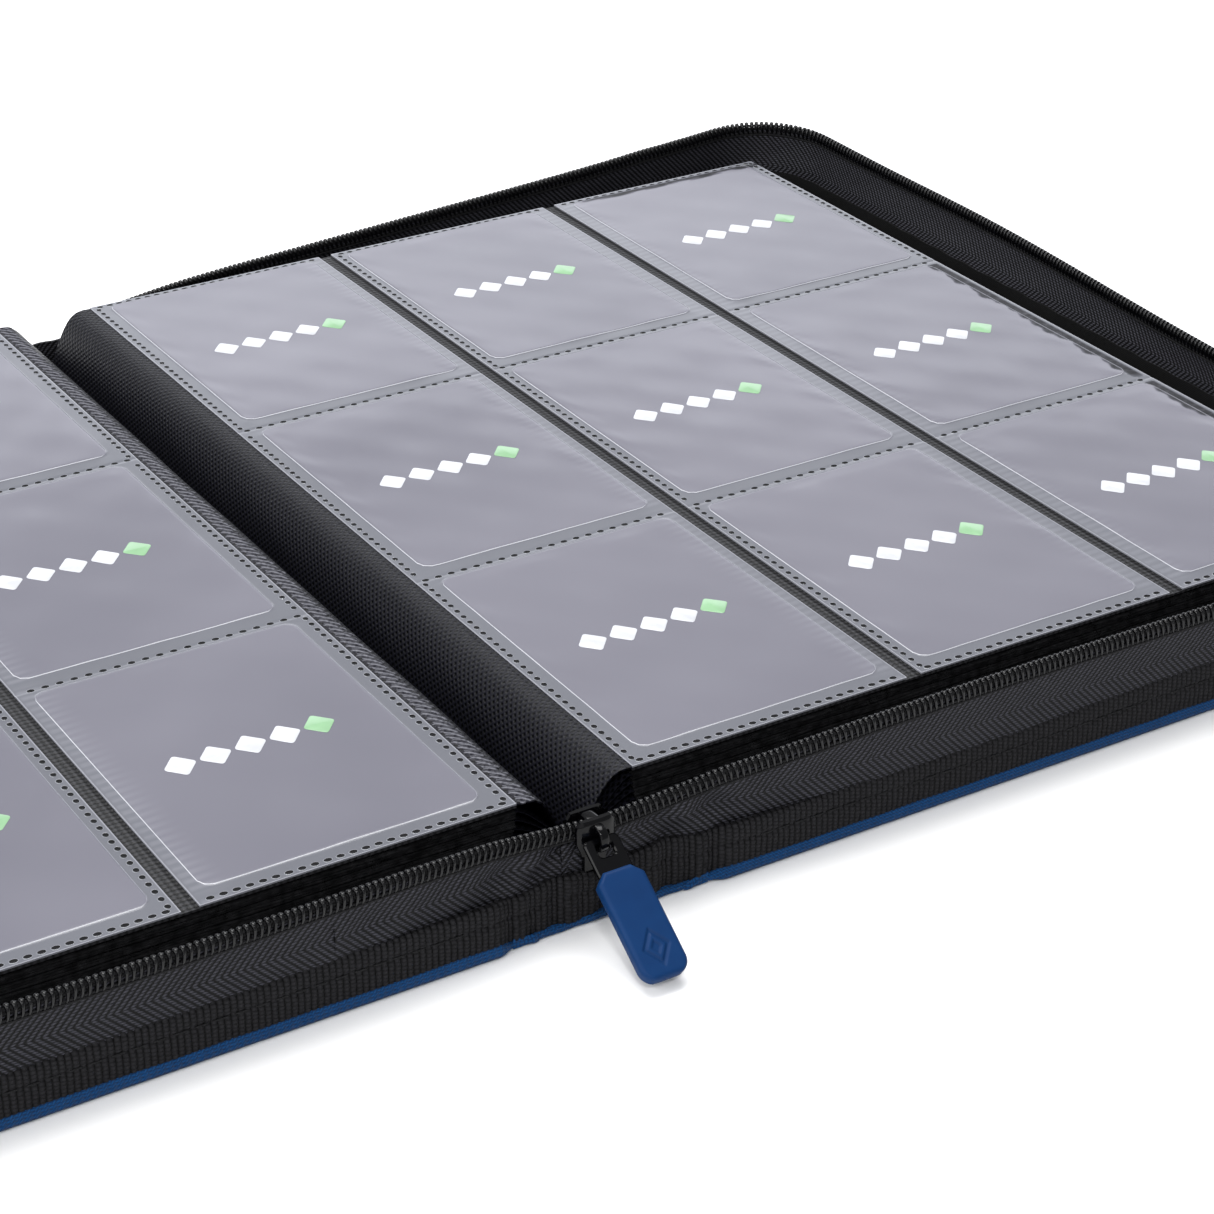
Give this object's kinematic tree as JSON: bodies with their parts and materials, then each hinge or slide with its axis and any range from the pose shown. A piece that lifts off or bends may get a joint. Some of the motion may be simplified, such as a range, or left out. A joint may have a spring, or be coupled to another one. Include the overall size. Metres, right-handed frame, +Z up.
{
  "type": "trading card binder",
  "caption": "Zip-round pocket-page card binder lying open flat, with hinged covers, turning leaves and a zip slider with a rubber pull.",
  "frame": {"origin": "on the table under the middle of the spine", "axes": "+X runs from the spine out over the back cover, +Y along the spine away from the zip slider, +Z up"},
  "size_m": [0.51, 0.3455, 0.0281],
  "materials": {
    "cover_cloth": "coarse woven nylon, matt",
    "board": "raw board",
    "black_fabric": "woven tape, matt",
    "zip_coil": "moulded nylon, glossy",
    "page_backing": "pebbled",
    "pocket_film": "clear film over grey cards",
    "black_metal": "black enamel, glossy",
    "pull_rubber": "moulded, satin"
  },
  "bodies": {
    "spine": {"spine_cloth": "cover_cloth", "spine_board": "board", "spine_lining": "black_fabric", "page_binding_strip": "page_backing", "zip_tail_tape": "black_fabric", "zip_end_stop": "black_metal", "zip_far_patch": "black_fabric", "back_margin_bundle": "page_backing", "back_near_slack_tape": "black_fabric", "back_far_slack_tape": "black_fabric", "front_margin_bundle": "page_backing", "front_near_slack_tape": "black_fabric", "front_far_slack_tape": "black_fabric"},
    "back_cover": {"back_cover_cloth": "cover_cloth", "back_cover_board": "board", "back_cover_lining": "black_fabric", "back_edge_binding": "black_fabric", "back_zip_tape": "black_fabric", "back_zip_coil": "zip_coil"},
    "back_pages": {"back_leaf_1": "page_backing", "back_leaf_2": "page_backing", "back_leaf_3": "page_backing", "back_leaf_4": "page_backing", "back_leaf_5": "page_backing", "back_leaf_6": "page_backing", "back_leaf_7": "page_backing", "back_leaf_8": "page_backing", "back_leaf_9": "page_backing", "back_leaf_margin": "page_backing"},
    "back_leaf": {"back_top_leaf_backing": "page_backing", "back_pocket_column_1": "pocket_film", "back_pocket_column_2": "pocket_film", "back_pocket_column_3": "pocket_film"},
    "front_cover": {"front_cover_cloth": "cover_cloth", "front_cover_board": "board", "front_cover_lining": "black_fabric", "front_edge_binding": "black_fabric", "front_zip_tape": "black_fabric", "front_zip_coil": "zip_coil"},
    "front_pages": {"front_leaf_1": "page_backing", "front_leaf_2": "page_backing", "front_leaf_3": "page_backing", "front_leaf_4": "page_backing", "front_leaf_5": "page_backing", "front_leaf_6": "page_backing", "front_leaf_7": "page_backing", "front_leaf_8": "page_backing", "front_leaf_9": "page_backing", "front_leaf_margin": "page_backing"},
    "front_leaf": {"front_top_leaf_backing": "page_backing", "front_pocket_column_1": "pocket_film", "front_pocket_column_2": "pocket_film", "front_pocket_column_3": "pocket_film"},
    "zip_slider": {"zip_slider_body": "black_metal", "zip_slider_bridge": "black_metal"},
    "zip_pull": {"zip_pull_link": "black_metal", "zip_pull_grip": "pull_rubber"}
  },
  "joints": [
    {"name": "back_cover_hinge", "type": "hinge", "parent": "spine", "child": "back_cover", "pos_m": [0.0268, 0, 0.0019], "axis": [0, -1, 0], "range_deg": [0, 90], "deforming": ["back_near_slack_tape", "back_far_slack_tape"]},
    {"name": "back_pages_hinge", "type": "hinge", "parent": "spine", "child": "back_pages", "pos_m": [0.0189, 0, 0.0095], "axis": [0, -1, 0], "range_deg": [0, 90], "deforming": ["back_margin_bundle", "back_leaf_margin"]},
    {"name": "back_leaf_turn", "type": "hinge", "parent": "back_pages", "child": "back_leaf", "pos_m": [0, 0, 0.02465], "axis": [0, 1, 0], "range_deg": [-180, 0], "deforming": ["back_leaf_margin"]},
    {"name": "front_cover_hinge", "type": "hinge", "parent": "spine", "child": "front_cover", "pos_m": [-0.0268, 0, 0.0019], "axis": [0, 1, 0], "range_deg": [0, 90], "deforming": ["front_near_slack_tape", "front_far_slack_tape"]},
    {"name": "front_pages_hinge", "type": "hinge", "parent": "spine", "child": "front_pages", "pos_m": [-0.0189, 0, 0.0095], "axis": [0, 1, 0], "range_deg": [0, 90], "deforming": ["front_margin_bundle", "front_leaf_margin"]},
    {"name": "front_leaf_turn", "type": "hinge", "parent": "front_pages", "child": "front_leaf", "pos_m": [0, 0, 0.02465], "axis": [0, -1, 0], "range_deg": [-180, 0], "deforming": ["front_leaf_margin"]},
    {"name": "zip_slide", "type": "slide", "parent": "spine", "child": "zip_slider", "axis": [0, 0, 1], "range_m": [0, 0.008]},
    {"name": "pull_hinge", "type": "hinge", "parent": "zip_slider", "child": "zip_pull", "pos_m": [-0.004, -0.1594, 0.0206], "axis": [-1, 0, 0], "range_deg": [0, 90]}
  ],
  "couplings": [
    {"joint": "back_pages_hinge", "follows": "back_cover_hinge", "ratio": 1},
    {"joint": "front_pages_hinge", "follows": "front_cover_hinge", "ratio": 1}
  ]
}
